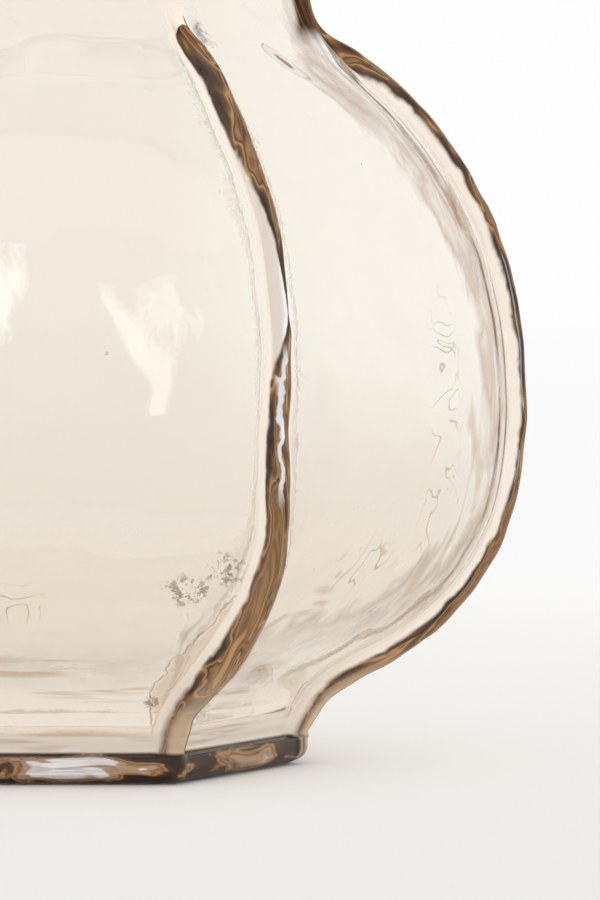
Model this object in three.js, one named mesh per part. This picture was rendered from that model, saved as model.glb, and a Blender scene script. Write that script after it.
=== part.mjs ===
// Large six-cornered glass vase: a blown bowl on a thick base slab, with a solid rib of glass along each corner.
// Millimetres, +Z up. The origin is the centre of the underside, so the vase stands on Z = 0.

import * as THREE from 'three';

// Corners of the body. The first points along +X, so that a flat panel faces the front, -Y.
const SIDES = 6;

// Base slab
const SLAB_THICKNESS = 8;
const SLAB_LEDGE = 1.0;
const SLAB_EDGE_INSET = 6.5;
const SLAB_EDGE_HEIGHT = 5;
const SLAB_TOP_BEVEL = 0.6;

// Bowl: radii reach from the axis to a corner, heights are measured from the surface that the vase stands on
const FOOT_RADIUS = 65.2;
const BELLY_RADIUS = 125.7;
const BELLY_HEIGHT = 100;
const NECK_RADIUS = 69.7;
const NECK_HEIGHT = 215;
const MOUTH_RADIUS = 84;
const MOUTH_HEIGHT = 250;

// How far each curve of the corner line leans on its handle, as a share of the span it crosses
const FOOT_LEAN = 0.19;
const FOOT_RISE = 0.41;
const BELLY_FULLNESS_BELOW = 0.81;
const BELLY_FULLNESS_ABOVE = 0.7;
const NECK_FULLNESS_BELOW = 0.29;
const NECK_FULLNESS_ABOVE = 0.45;
const MOUTH_SPREAD = 0.4;

// How round the plan is at each level: 0 is a hexagon with flat panels, 1 is a circle
const FOOT_ROUNDNESS = 0.04;
const BELLY_ROUNDNESS = 0.42;
const NECK_ROUNDNESS = 0.8;
const MOUTH_ROUNDNESS = 1;

// Glass thickness
const WALL = 3.8;
const CORNER_FILL = 1.6;
const BOWL_FLOOR = 3;
const FLOOR_FILLET = 7;
const LIP_SWELL = 0.7;

// Ribs
const RIB_WIDTH = 6;
const RIB_TUCK_WIDTH = 9.5;
const RIB_TUCK_HEIGHT = 34;
const RIB_TUCK_SPREAD = 17;
const RIB_HEIGHT = 4;
const RIB_TOP = 200;
const RIB_TIP = 5;
const RIB_SEAT_GAP = 0.3;
const RIB_SQUARE_FOOT = 12;

// Facets
const STEPS_PER_PANEL = 8;
const STEPS_BELOW_BELLY = 16;
const STEPS_ABOVE_BELLY = 15;
const STEPS_ABOVE_NECK = 6;
const LIP_STEPS = 5;
const FILLET_STEPS = 3;
const RIB_CREST_STEPS = 6;
const RIB_TIP_STEPS = 4;

const PANEL_ANGLE = ( 2 * Math.PI ) / SIDES;
const FLAT_PANEL = Math.cos( PANEL_ANGLE / 2 );
const { lerp, smoothstep } = THREE.MathUtils;

const teaGlass = {
	color: 0xd9c7ad,
	roughness: 0.06,
	metalness: 0,
	transparent: true,
	opacity: 0.45,
};


// The corner line of the bowl's outside, as three curves in (radius, height): foot to belly, belly to neck
// and neck to mouth. Neighbouring curves share an upright tangent.
function cornerCurves() {

	const slabTop = SLAB_THICKNESS;
	const underSpan = BELLY_HEIGHT - slabTop;
	const overSpan = NECK_HEIGHT - BELLY_HEIGHT;
	const mouthSpan = MOUTH_HEIGHT - NECK_HEIGHT;
	const point = ( radius, height ) => new THREE.Vector2( radius, height );

	const footToBelly = new THREE.CubicBezierCurve(
		point( FOOT_RADIUS, slabTop ),
		point( lerp( FOOT_RADIUS, BELLY_RADIUS, FOOT_LEAN ), slabTop + FOOT_RISE * underSpan ),
		point( BELLY_RADIUS, BELLY_HEIGHT - BELLY_FULLNESS_BELOW * underSpan ),
		point( BELLY_RADIUS, BELLY_HEIGHT )
	);
	const bellyToNeck = new THREE.CubicBezierCurve(
		point( BELLY_RADIUS, BELLY_HEIGHT ),
		point( BELLY_RADIUS, BELLY_HEIGHT + BELLY_FULLNESS_ABOVE * overSpan ),
		point( NECK_RADIUS, NECK_HEIGHT - NECK_FULLNESS_BELOW * overSpan ),
		point( NECK_RADIUS, NECK_HEIGHT )
	);
	const neckToMouth = new THREE.CubicBezierCurve(
		point( NECK_RADIUS, NECK_HEIGHT ),
		point( NECK_RADIUS, NECK_HEIGHT + NECK_FULLNESS_ABOVE * mouthSpan ),
		point( lerp( MOUTH_RADIUS, NECK_RADIUS, MOUTH_SPREAD ), lerp( MOUTH_HEIGHT, NECK_HEIGHT, MOUTH_SPREAD ) ),
		point( MOUTH_RADIUS, MOUTH_HEIGHT )
	);
	return [
		[ footToBelly, STEPS_BELOW_BELLY ],
		[ bellyToNeck, STEPS_ABOVE_BELLY ],
		[ neckToMouth, STEPS_ABOVE_NECK ],
	];

}


// How round the plan is at a height, eased from level to level.
function roundnessAt( height ) {

	if ( height < BELLY_HEIGHT ) {

		return lerp( FOOT_ROUNDNESS, BELLY_ROUNDNESS, smoothstep( height, SLAB_THICKNESS, BELLY_HEIGHT ) );

	}
	if ( height < NECK_HEIGHT ) {

		return lerp( BELLY_ROUNDNESS, NECK_ROUNDNESS, smoothstep( height, BELLY_HEIGHT, NECK_HEIGHT ) );

	}
	return lerp( NECK_ROUNDNESS, MOUTH_ROUNDNESS, smoothstep( height, NECK_HEIGHT, MOUTH_HEIGHT ) );

}


// One level of a surface: the radius at its corners, the radius at the middle of its panels, and its height.
function makeLevel( corner, roundness, height ) {

	return { corner, panel: corner * lerp( FLAT_PANEL, 1, roundness ), height };

}


// The levels of the bowl's outside, from the slab up to the mouth, each with the outward direction
// (out, up) of the corner line there.
function outsideLevels() {

	const levels = [];
	for ( const [ curve, steps ] of cornerCurves() ) {

		const first = levels.length === 0 ? 0 : 1;
		for ( let step = first; step <= steps; step ++ ) {

			const place = curve.getPoint( step / steps );
			const along = curve.getTangent( step / steps );
			const level = makeLevel( place.x, roundnessAt( place.y ), place.y );
			levels.push( { ...level, out: along.y, up: - along.x } );

		}

	}
	return levels;

}


// The level of the inside that lies one wall away from a level of the outside. The corners hold more glass
// than the panels, so the inside is rounder.
function insideLevel( level ) {

	return {
		corner: level.corner - ( WALL + CORNER_FILL ) * level.out,
		panel: level.panel - WALL * level.out,
		height: level.height - WALL * level.up,
	};

}


// The level between two others.
function levelBetween( lower, upper, share ) {

	const level = {};
	for ( const key of Object.keys( lower ) ) {

		level[ key ] = lerp( lower[ key ], upper[ key ], share );

	}
	return level;

}


// The level at a height, on the straight facets between the given levels.
function levelAtHeight( levels, height ) {

	const above = levels.findIndex( ( level ) => level.height >= height );
	const upper = levels[ Math.max( above, 1 ) ];
	const lower = levels[ Math.max( above, 1 ) - 1 ];
	return levelBetween( lower, upper, ( height - lower.height ) / ( upper.height - lower.height ) );

}


// A point of a level at an angle from +X. The radius swells from the middle of a panel to its corners as a
// straight side would, scaled to the level's own two radii.
function pointOn( level, angle ) {

	const turned = ( ( angle % PANEL_ANGLE ) + PANEL_ANGLE ) % PANEL_ANGLE;
	const fromMiddle = turned - PANEL_ANGLE / 2;
	const swell = ( 1 / Math.cos( fromMiddle ) - 1 ) / ( 1 / FLAT_PANEL - 1 );
	const radius = lerp( level.panel, level.corner, swell );
	return new THREE.Vector3( radius * Math.cos( angle ), radius * Math.sin( angle ), level.height );

}


// The closed ring of points round a level.
function ringOf( level ) {

	const count = SIDES * STEPS_PER_PANEL;
	return Array.from( { length: count }, ( _, step ) => pointOn( level, ( step * 2 * Math.PI ) / count ) );

}


// A closed solid skinned over rings of equal count, with a fan of triangles over the first and the last ring.
// Every ring runs anticlockwise seen from the side that the first step leads to.
function skinRings( rings ) {

	const count = rings[ 0 ].length;
	const middle = ( ring ) => ring.reduce( ( sum, place ) => sum.add( place ), new THREE.Vector3() )
		.divideScalar( count );
	const places = [ ...rings.flat(), middle( rings[ 0 ] ), middle( rings[ rings.length - 1 ] ) ];
	const startMiddle = places.length - 2;
	const endMiddle = places.length - 1;
	const lastRing = ( rings.length - 1 ) * count;
	const triangles = [];
	for ( let side = 0; side < count; side ++ ) {

		const next = ( side + 1 ) % count;
		triangles.push( startMiddle, next, side );
		triangles.push( endMiddle, lastRing + side, lastRing + next );
		for ( let start = 0; start < lastRing; start += count ) {

			triangles.push( start + side, start + next, start + count + next );
			triangles.push( start + side, start + count + next, start + count + side );

		}

	}
	const geometry = new THREE.BufferGeometry();
	geometry.setFromPoints( places );
	geometry.setIndex( triangles );
	geometry.computeVertexNormals();
	return geometry;

}


// The slab: a flat underside, a well rounded lower edge, and a flat top that carries the bowl and the ribs.
function baseSlab() {

	const corner = FOOT_RADIUS + RIB_SEAT_GAP + RIB_HEIGHT + SLAB_LEDGE;
	const roundness = FOOT_ROUNDNESS;
	const levels = [];
	for ( let step = 0; step <= FILLET_STEPS; step ++ ) {

		const angle = ( step / FILLET_STEPS ) * ( Math.PI / 2 );
		const inset = SLAB_EDGE_INSET * ( 1 - Math.sin( angle ) );
		const height = SLAB_EDGE_HEIGHT * ( 1 - Math.cos( angle ) );
		levels.push( makeLevel( corner - inset, roundness, height ) );

	}
	levels.push( makeLevel( corner, roundness, SLAB_THICKNESS - SLAB_TOP_BEVEL ) );
	levels.push( makeLevel( corner - SLAB_TOP_BEVEL, roundness, SLAB_THICKNESS ) );
	return skinRings( levels.map( ringOf ) );

}


// The mouth's rounded lip, from the outside over the top to the inside.
function lipLevels( outer, inner ) {

	const levels = [];
	const centre = levelBetween( outer, inner, 0.5 );
	for ( let step = 1; step < LIP_STEPS; step ++ ) {

		const angle = ( step / LIP_STEPS ) * Math.PI;
		const reach = 0.5 * Math.cos( angle );
		const swell = LIP_SWELL * Math.sin( angle );
		levels.push( {
			corner: centre.corner + reach * ( outer.corner - inner.corner ) - swell * outer.up,
			panel: centre.panel + reach * ( outer.panel - inner.panel ) - swell * outer.up,
			height: centre.height + reach * ( outer.height - inner.height )
				+ ( WALL / 2 ) * Math.sin( angle ) * outer.out + swell,
		} );

	}
	return levels;

}


// The inside of the bowl, from the mouth down to its floor, with a fillet where the wall meets the floor.
function insideLevels( outside ) {

	const floor = SLAB_THICKNESS + BOWL_FLOOR;
	const wall = outside.map( insideLevel );
	const above = wall.filter( ( level ) => level.height > floor + FLOOR_FILLET );
	const start = levelAtHeight( wall, floor + FLOOR_FILLET );
	const fillet = [];
	for ( let step = 1; step <= FILLET_STEPS; step ++ ) {

		const angle = ( step / FILLET_STEPS ) * ( Math.PI / 2 );
		const inset = FLOOR_FILLET * ( 1 - Math.cos( angle ) );
		fillet.push( {
			corner: start.corner - inset,
			panel: start.panel - inset,
			height: floor + FLOOR_FILLET * ( 1 - Math.sin( angle ) ),
		} );

	}
	return [ ...above.reverse(), start, ...fillet ];

}


// The blown bowl, with its floor, neck and mouth.
function bowl( outside ) {

	const mouth = outside[ outside.length - 1 ];
	const lip = lipLevels( mouth, { ...insideLevel( mouth ), out: mouth.out, up: mouth.up } );
	const levels = [ ...outside, ...lip, ...insideLevels( outside ) ];
	return skinRings( levels.map( ringOf ) );

}


// The levels that a rib passes, each with the share of its full section: all of it up to the tip, which then
// closes in a quarter of an ellipse.
function ribLevels( outside ) {

	const tipStart = RIB_TOP - RIB_TIP;
	const stations = outside
		.filter( ( level ) => level.height < tipStart )
		.map( ( level ) => ( { level, share: 1 } ) );
	const lastAngle = ( 80 * Math.PI ) / 180;
	for ( let step = 0; step <= RIB_TIP_STEPS; step ++ ) {

		const angle = ( step / RIB_TIP_STEPS ) * lastAngle;
		const height = tipStart + ( RIB_TIP * Math.sin( angle ) ) / Math.sin( lastAngle );
		stations.push( { level: levelAtHeight( outside, height ), share: Math.cos( angle ) } );

	}
	return stations;

}


// The rib's width at a height: it swells where the body tucks in above the slab.
function ribWidthAt( height ) {

	const distance = ( height - RIB_TUCK_HEIGHT ) / RIB_TUCK_SPREAD;
	return lerp( RIB_WIDTH, RIB_TUCK_WIDTH, Math.exp( - distance * distance ) );

}


// One closed section of a rib: a rounded crest over a seat that follows the bowl's corner.
function ribSection( level, share, angle ) {

	const square = smoothstep( level.height, SLAB_THICKNESS, SLAB_THICKNESS + RIB_SQUARE_FOOT );
	const lift = new THREE.Vector3( level.out * Math.cos( angle ), level.out * Math.sin( angle ), level.up * square )
		.normalize();
	const halfAngle = ( share * ribWidthAt( level.height ) ) / 2 / level.corner;
	const seat = ( across ) => pointOn( level, angle + across * halfAngle ).addScaledVector( lift, RIB_SEAT_GAP );
	const section = [];
	for ( let step = 0; step <= RIB_CREST_STEPS; step ++ ) {

		const turn = ( step / RIB_CREST_STEPS - 0.5 ) * Math.PI;
		const rise = share * RIB_HEIGHT * Math.cos( turn );
		section.push( seat( Math.sin( turn ) ).addScaledVector( lift, rise ) );

	}
	section.push( seat( 0.5 ), seat( 0 ), seat( - 0.5 ) );
	return section;

}


// A rib along the corner at an angle, standing on the slab.
function rib( outside, angle ) {

	return skinRings( ribLevels( outside ).map( ( { level, share } ) => ribSection( level, share, angle ) ) );

}


function addPiece( group, name, geometry ) {

	const piece = new THREE.Mesh( geometry, new THREE.MeshStandardMaterial( teaGlass ) );
	piece.name = name;
	group.add( piece );

}


const vase = new THREE.Group();
const outside = outsideLevels();
addPiece( vase, 'base_slab', baseSlab() );
addPiece( vase, 'bowl', bowl( outside ) );
for ( let index = 0; index < SIDES; index ++ ) {

	addPiece( vase, `rib_${ index + 1 }`, rib( outside, index * PANEL_ANGLE ) );

}

export default vase;
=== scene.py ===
"""A large six-cornered vase of tea-tinted hand-made glass, standing in a plain white studio.

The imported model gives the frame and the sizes. The whole vase is one continuous body of glass here, because
its bowl, slab and ribs are fused: light would show a false joint wherever two separate solids met.
Lengths are millimetres in the builders and become metres when a mesh is made; the finish works in metres.
"""

from __future__ import annotations

import logging
import math
from dataclasses import dataclass, field
from enum import Enum
from typing import Any, Callable, NamedTuple, Sequence, Union

import bpy
import numpy as np
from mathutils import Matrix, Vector


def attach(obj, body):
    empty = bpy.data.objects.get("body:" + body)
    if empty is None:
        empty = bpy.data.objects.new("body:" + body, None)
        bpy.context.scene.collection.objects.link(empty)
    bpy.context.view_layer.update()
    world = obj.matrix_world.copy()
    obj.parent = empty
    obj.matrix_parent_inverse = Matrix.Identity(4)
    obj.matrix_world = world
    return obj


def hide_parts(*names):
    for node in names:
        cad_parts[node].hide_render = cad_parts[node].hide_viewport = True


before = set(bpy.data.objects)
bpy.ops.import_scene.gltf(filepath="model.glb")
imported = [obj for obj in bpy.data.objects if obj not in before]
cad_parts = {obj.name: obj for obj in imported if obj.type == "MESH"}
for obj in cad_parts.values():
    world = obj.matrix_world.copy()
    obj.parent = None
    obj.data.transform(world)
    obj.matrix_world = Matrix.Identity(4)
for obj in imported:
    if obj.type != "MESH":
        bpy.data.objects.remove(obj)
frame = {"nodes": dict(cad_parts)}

log = logging.getLogger("vase")

MM = 0.001
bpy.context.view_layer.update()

# What a node's input can be linked to: an output socket, or a node, which stands for its first output in use
Source = Union[bpy.types.Node, bpy.types.NodeSocket]


class NodeKind(NamedTuple):
    """A kind of node: Blender's name of its class, without "ShaderNode", and its settings."""

    name: str
    settings: dict[str, Any]


LINEAR = NodeKind("MapRange", {"interpolation_type": "LINEAR"})
SMOOTH = NodeKind("MapRange", {"interpolation_type": "SMOOTHSTEP"})
BLEND = NodeKind("Mix", {"data_type": "RGBA"})
PLUS = NodeKind("Math", {"operation": "ADD"})
LESS = NodeKind("Math", {"operation": "SUBTRACT"})
LESS_TO_ZERO = NodeKind("Math", {"operation": "SUBTRACT", "use_clamp": True})
TIMES = NodeKind("Math", {"operation": "MULTIPLY"})
TIMES_PLUS = NodeKind("Math", {"operation": "MULTIPLY_ADD"})
SIZE_OF = NodeKind("Math", {"operation": "ABSOLUTE"})
PAST_WHOLE = NodeKind("Math", {"operation": "FRACT"})
LARGER = NodeKind("Math", {"operation": "MAXIMUM"})
SMALLER = NodeKind("Math", {"operation": "MINIMUM"})
WAY_FROM = NodeKind("VectorMath", {"operation": "SUBTRACT"})
SCALED = NodeKind("VectorMath", {"operation": "MULTIPLY"})
SCALED_DOWN = NodeKind("VectorMath", {"operation": "DIVIDE"})
LENGTH = NodeKind("VectorMath", {"operation": "LENGTH"})
DOT = NodeKind("VectorMath", {"operation": "DOT_PRODUCT"})


class Finish(Enum):
    """The record's material slot that a piece takes its finish from."""

    TEA_GLASS = "tea_glass"


def linear_from_hex(colour: str) -> tuple[float, float, float, float]:
    """Turn an sRGB hex colour into the linear colour that the shader works in.

    Args:
        colour: six hex digits, such as "F0E8DC".

    Returns:
        Linear red, green, blue and an alpha of 1.
    """
    channels = [int(colour[start : start + 2], 16) / 255 for start in (0, 2, 4)]
    linear = [c / 12.92 if c <= 0.04045 else ((c + 0.055) / 1.055) ** 2.4 for c in channels]
    return (linear[0], linear[1], linear[2], 1.0)


class Nodes:
    """The nodes of one material or world."""

    def __init__(self, owner: bpy.types.Material | bpy.types.World) -> None:
        """Start without the nodes that a new one comes with.

        Args:
            owner: the material or world.
        """
        owner.use_nodes = True
        self.tree = owner.node_tree
        self.tree.nodes.clear()

    def add(
        self,
        kind: NodeKind | str,
        *values: Any,
        stops: Sequence[tuple[float, Any]] = (),
        **named: Any,
    ) -> bpy.types.Node:
        """Add a node, with its settings and the values or links of its inputs.

        Args:
            kind: the node's kind, or only its name where it has no settings.
            values: the inputs in use, in order: numbers, hex colours, nodes or sockets. Those that are left
                over go to further nodes of the kind, each of which starts with the one before.
            stops: positions of a colour ramp in rising order, each with a hex colour or a grey.
            named: inputs by name, with underscores for spaces.

        Returns:
            The node, or the last of several.
        """
        name, settings = kind if isinstance(kind, NodeKind) else (kind, {})
        node = self.tree.nodes.new("ShaderNode" + name)
        for key, value in settings.items():
            setattr(node, key, value)
        for index, (position, colour) in enumerate(stops):
            elements = node.color_ramp.elements
            element = elements[index] if index < 2 else elements.new(position)
            element.position = position
            element.color = linear_from_hex(colour) if isinstance(colour, str) else (*[colour] * 3, 1)
        used = [socket for socket in node.inputs if socket.enabled]
        by_name = [(node.inputs[key.replace("_", " ")], value) for key, value in named.items()]
        for socket, value in (*zip(used, values), *by_name):
            if isinstance(value, bpy.types.Node):
                value = next(output for output in value.outputs if output.enabled)
            if isinstance(value, bpy.types.NodeSocket):
                self.tree.links.new(value, socket)
            else:
                socket.default_value = linear_from_hex(value) if isinstance(value, str) else value
        left = values[len(used) :]
        return self.add(kind, node, *left) if left else node


def smooth_step(value: np.ndarray | float, low: float, high: float) -> np.ndarray:
    """Ease from 0 at low to 1 at high.

    Args:
        value: what is eased.
        low: where the ease starts.
        high: where it ends.

    Returns:
        Shares from 0 to 1.
    """
    share = np.clip((np.asarray(value, float) - low) / (high - low), 0.0, 1.0)
    return share * share * (3 - 2 * share)


def bump(heights: np.ndarray, middle: float, length: float) -> np.ndarray:
    """Give a smooth bump that is 1 at a middle height and falls away over a length."""
    return np.exp(-(((heights - middle) / length) ** 2))


def mix(start: Any, end: Any, share: Any) -> Any:
    """Blend from start to end by a share from 0 to 1."""
    return start + (end - start) * share


@dataclass(frozen=True)
class Waves:
    """The slow unevenness of hand-worked glass: many plane waves of about one length in all directions."""

    seed: int
    length_mm: float
    height_mm: float
    stretch: tuple[float, float, float] = (1.0, 1.0, 1.0)
    count: int = 28

    def at(self, places: np.ndarray) -> np.ndarray:
        """Give the height of the waves.

        Args:
            places: points in millimetres, with x, y and z last.

        Returns:
            One height in millimetres for each point.
        """
        draw = np.random.default_rng(self.seed)
        ways = draw.normal(size=(self.count, 3))
        ways /= np.linalg.norm(ways, axis=1)[:, None]
        lengths = self.length_mm * draw.uniform(0.7, 1.5, self.count)
        numbers = ways * (2 * math.pi / lengths)[:, None] / np.array(self.stretch)
        phases = draw.uniform(0, 2 * math.pi, self.count)
        total = np.zeros(places.shape[:-1])
        for number, phase in zip(numbers, phases):
            total += np.sin(places @ number + phase)
        return total * self.height_mm * math.sqrt(2 / self.count)


@dataclass(frozen=True)
class CornerLine:
    """The line that a corner of the bowl's outside follows, in radius and height, as three cubic curves."""

    foot_radius: float = 65.2
    foot_height: float = 8.0
    belly_radius: float = 125.7
    belly_height: float = 100.0
    neck_radius: float = 69.7
    neck_height: float = 215.0
    mouth_radius: float = 84.0
    mouth_height: float = 250.0
    foot_lean: float = 0.19
    foot_rise: float = 0.41
    fullness_below: float = 0.81
    fullness_above: float = 0.7
    neck_below: float = 0.29
    neck_above: float = 0.45
    mouth_spread: float = 0.4
    # How far the hand-made body stands out past the plain curves, where, and over what length
    swellings: tuple[tuple[float, float, float], ...] = ((1.9, 184.0, 14.0), (2.4, 33.5, 9.0))

    def curves(self) -> list[np.ndarray]:
        """Lay the curves from the foot to the belly, the neck and the mouth.

        Returns:
            The four control points of each curve.
        """
        under = self.belly_height - self.foot_height
        over = self.neck_height - self.belly_height
        flare = self.mouth_height - self.neck_height
        foot, belly = (self.foot_radius, self.foot_height), (self.belly_radius, self.belly_height)
        neck, mouth = (self.neck_radius, self.neck_height), (self.mouth_radius, self.mouth_height)
        lean_radius = mix(self.foot_radius, self.belly_radius, self.foot_lean)
        lean = (lean_radius, self.foot_height + self.foot_rise * under)
        before_belly = (self.belly_radius, self.belly_height - self.fullness_below * under)
        after_belly = (self.belly_radius, self.belly_height + self.fullness_above * over)
        before_neck = (self.neck_radius, self.neck_height - self.neck_below * over)
        after_neck = (self.neck_radius, self.neck_height + self.neck_above * flare)
        spread = tuple(mix(end, start, self.mouth_spread) for start, end in zip(neck, mouth))
        return [
            np.array([foot, lean, before_belly, belly]),
            np.array([belly, after_belly, before_neck, neck]),
            np.array([neck, after_neck, spread, mouth]),
        ]

    def levels(self, spacing: float) -> tuple[np.ndarray, np.ndarray]:
        """Step evenly along the whole line.

        Args:
            spacing: the distance between levels in millimetres.

        Returns:
            Points in radius and height, and the outward direction at each.
        """
        fine: list[np.ndarray] = []
        for curve in self.curves():
            share = np.linspace(0, 1, 400)[:, None]
            rest = 1 - share
            weights = (rest**3, 3 * rest**2 * share, 3 * rest * share**2, share**3)
            points = sum(weight * corner for weight, corner in zip(weights, curve))
            fine.append(points if not fine else points[1:])
        line = np.vstack(fine)
        along = np.concatenate([[0.0], np.cumsum(np.hypot(*np.diff(line, axis=0).T))])
        even = np.linspace(0, along[-1], int(round(along[-1] / spacing)) + 1)
        places = np.stack([np.interp(even, along, line[:, axis]) for axis in (0, 1)], axis=1)
        for size, height, length in self.swellings:
            places[:, 0] += size * bump(places[:, 1], height, length)
        ways = np.gradient(places, axis=0)
        ways /= np.hypot(ways[:, 0], ways[:, 1])[:, None]
        return places, np.stack([ways[:, 1], -ways[:, 0]], axis=1)


@dataclass(frozen=True)
class Plan:
    """How the six-cornered plan turns from a hexagon at the foot to a circle at the mouth."""

    sides: int = 6
    foot: float = 0.04
    belly: float = 0.42
    neck: float = 0.8
    mouth: float = 1.0

    @property
    def panel_angle(self) -> float:
        """The angle that one panel spans, in radians."""
        return 2 * math.pi / self.sides

    @property
    def flat_panel(self) -> float:
        """A flat panel's distance from the axis as a share of its corner's."""
        return math.cos(self.panel_angle / 2)

    def roundness(self, heights: np.ndarray, line: CornerLine) -> np.ndarray:
        """Say how round the plan is, from 0 for a hexagon to 1 for a circle.

        Args:
            heights: heights in millimetres.
            line: the corner line, which gives the levels.

        Returns:
            One share for each height.
        """
        low = mix(self.foot, self.belly, smooth_step(heights, line.foot_height, line.belly_height))
        mid = mix(self.belly, self.neck, smooth_step(heights, line.belly_height, line.neck_height))
        top = mix(self.neck, self.mouth, smooth_step(heights, line.neck_height, line.mouth_height))
        return np.where(heights < line.belly_height, low, np.where(heights < line.neck_height, mid, top))

    def swell(self, angles: np.ndarray, round_off: float) -> np.ndarray:
        """Say how far a point is from a panel's middle to its corner, as a straight side would have it.

        Args:
            angles: angles from +X in radians.
            round_off: how far from the corner its rounding reaches, in radians.

        Returns:
            Shares from 0 in the middle of a panel to 1 at a sharp corner.
        """
        half = self.panel_angle / 2
        middle = np.abs((angles % self.panel_angle) - half)
        corner = np.sqrt((half - middle) ** 2 + round_off**2)
        off = np.clip(half - corner, 0, half)
        return (1 / np.cos(off) - 1) / (1 / self.flat_panel - 1)


class Rings(NamedTuple):
    """Levels of a surface: corner and panel radii, heights, directions and the most that a rib adds."""

    corner: np.ndarray
    panel: np.ndarray
    height: np.ndarray
    out: np.ndarray
    up: np.ndarray
    rib: np.ndarray

    @staticmethod
    def joined(parts: Sequence[Rings]) -> Rings:
        """Lay several stretches of levels end to end."""
        return Rings(*(np.concatenate(column) for column in zip(*parts)))


@dataclass
class Skin:
    """Points of a surface by level and column, with what the glass finish needs to know about each."""

    places: np.ndarray
    ways: np.ndarray
    rib: np.ndarray
    on_rib: np.ndarray
    halo: np.ndarray | None = None


@dataclass(frozen=True)
class Rib:
    """A solid rib of glass laid along one corner while hot.

    It is thick where it was pressed on, at the tuck above the slab and at its blunt upper end.
    """

    index: int
    # Heights in millimetres and how far the rib strays there to the side; without them it wanders by itself
    strays: tuple[tuple[float, float], ...] = ()
    pinch_height: float = 126.0
    pinch_depth: float = 2.2
    # How far the streaks spread over the rib, in half widths, above the tuck, at it and at the upper end
    streak_spread: float = 1.0
    tuck_spread: float = 1.0
    end_spread: float = 1.2
    streak_top: float = 200.0
    pinch_length: float = 9.0
    pinch_length_above: float = 24.0
    height: float = 5.3
    half_width: float = 2.25
    foot_half_width: float = 3.6
    # The swelling at the tuck, where the streaks' part of it is longer and stands higher
    tuck_height: float = 34.0
    tuck_length: float = 10.0
    tuck_rise: float = 1.2
    wide_height: float = 42.0
    wide_length: float = 16.0
    tuck_half_width: float = 1.4
    end_height: float = 183.0
    end_length: float = 15.0
    end_rise: float = 0.4
    top: float = 208.0
    nose: float = 20.0
    streak_nose: float = 4.0

    def half_width_at(self, heights: np.ndarray) -> np.ndarray:
        """Give the rib's half width, which swells at the tuck and wanders with the hand.

        Args:
            heights: heights in millimetres.

        Returns:
            One half width in millimetres for each height.
        """
        width = mix(self.foot_half_width, self.half_width, smooth_step(heights, 30, 110))
        width = width + self.tuck_half_width * bump(heights, self.wide_height, self.wide_length)
        draw = np.random.default_rng(100 + self.index)
        for length in (23.0, 41.0, 67.0):
            phase = draw.uniform(0, 2 * math.pi)
            width = width * (1 + 0.04 * np.sin(2 * math.pi * heights / length + phase))
        return width

    def streak_half_at(self, heights: np.ndarray) -> np.ndarray:
        """Give the half width of the rib's streaks, pinched where the gather was thin, with a blunt tip.

        Args:
            heights: heights in millimetres.

        Returns:
            One half width in millimetres for each height, less than 0 past the tip.
        """
        above = heights > self.pinch_height
        length = np.where(above, self.pinch_length_above, self.pinch_length)
        spread = mix(self.tuck_spread, self.streak_spread, smooth_step(heights, 45, 85))
        spread = mix(spread, self.end_spread, smooth_step(heights, 182, 198))
        pinch = self.pinch_depth * bump(heights, self.pinch_height, length)
        half = spread * self.half_width_at(heights) - pinch
        tip = np.clip((heights - (self.streak_top - self.streak_nose)) / self.streak_nose, 0, 1.6)
        return half * np.sqrt(np.clip(1 - tip**2, 0, 1)) - 4 * np.clip(tip - 1, 0, 1)

    def sway_at(self, heights: np.ndarray) -> np.ndarray:
        """Give how far the rib strays sideways from its corner.

        Args:
            heights: heights in millimetres.

        Returns:
            One distance in millimetres for each height.
        """
        if self.strays:
            knots, offsets = zip(*self.strays)
            return np.interp(heights, knots, offsets)
        draw = np.random.default_rng(200 + self.index)
        sway = np.zeros_like(heights)
        for length, size in ((150.0, 0.9), (70.0, 0.45), (38.0, 0.3)):
            sway = sway + size * np.sin(2 * math.pi * heights / length + draw.uniform(0, 2 * math.pi))
        return sway * smooth_step(heights, 8, 30)

    def rise_at(self, heights: np.ndarray) -> np.ndarray:
        """Give the crest's height over the corner, thicker at the tuck and at the blunt upper end.

        Args:
            heights: heights in millimetres.

        Returns:
            One rise in millimetres for each height.
        """
        tuck = self.tuck_rise * bump(heights, self.tuck_height, self.tuck_length)
        end = self.end_rise * bump(heights, self.end_height, self.end_length)
        return (self.height + tuck + end) * (1 - smooth_step(heights, self.top - self.nose, self.top))


# The rib's section as pairs of reach across, in half widths, and rise, in crest heights: a rounded crest
# whose flanks run out on the panel in a small fillet
RIB_SECTION = (
    (0.0, 1.0), (0.2, 0.98), (0.4, 0.917), (0.58, 0.815), (0.73, 0.683), (0.85, 0.527), (0.93, 0.368),
    (0.985, 0.215), (1.05, 0.11), (1.15, 0.045), (1.3, 0.012), (1.55, 0.0),
)  # fmt: skip


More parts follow.
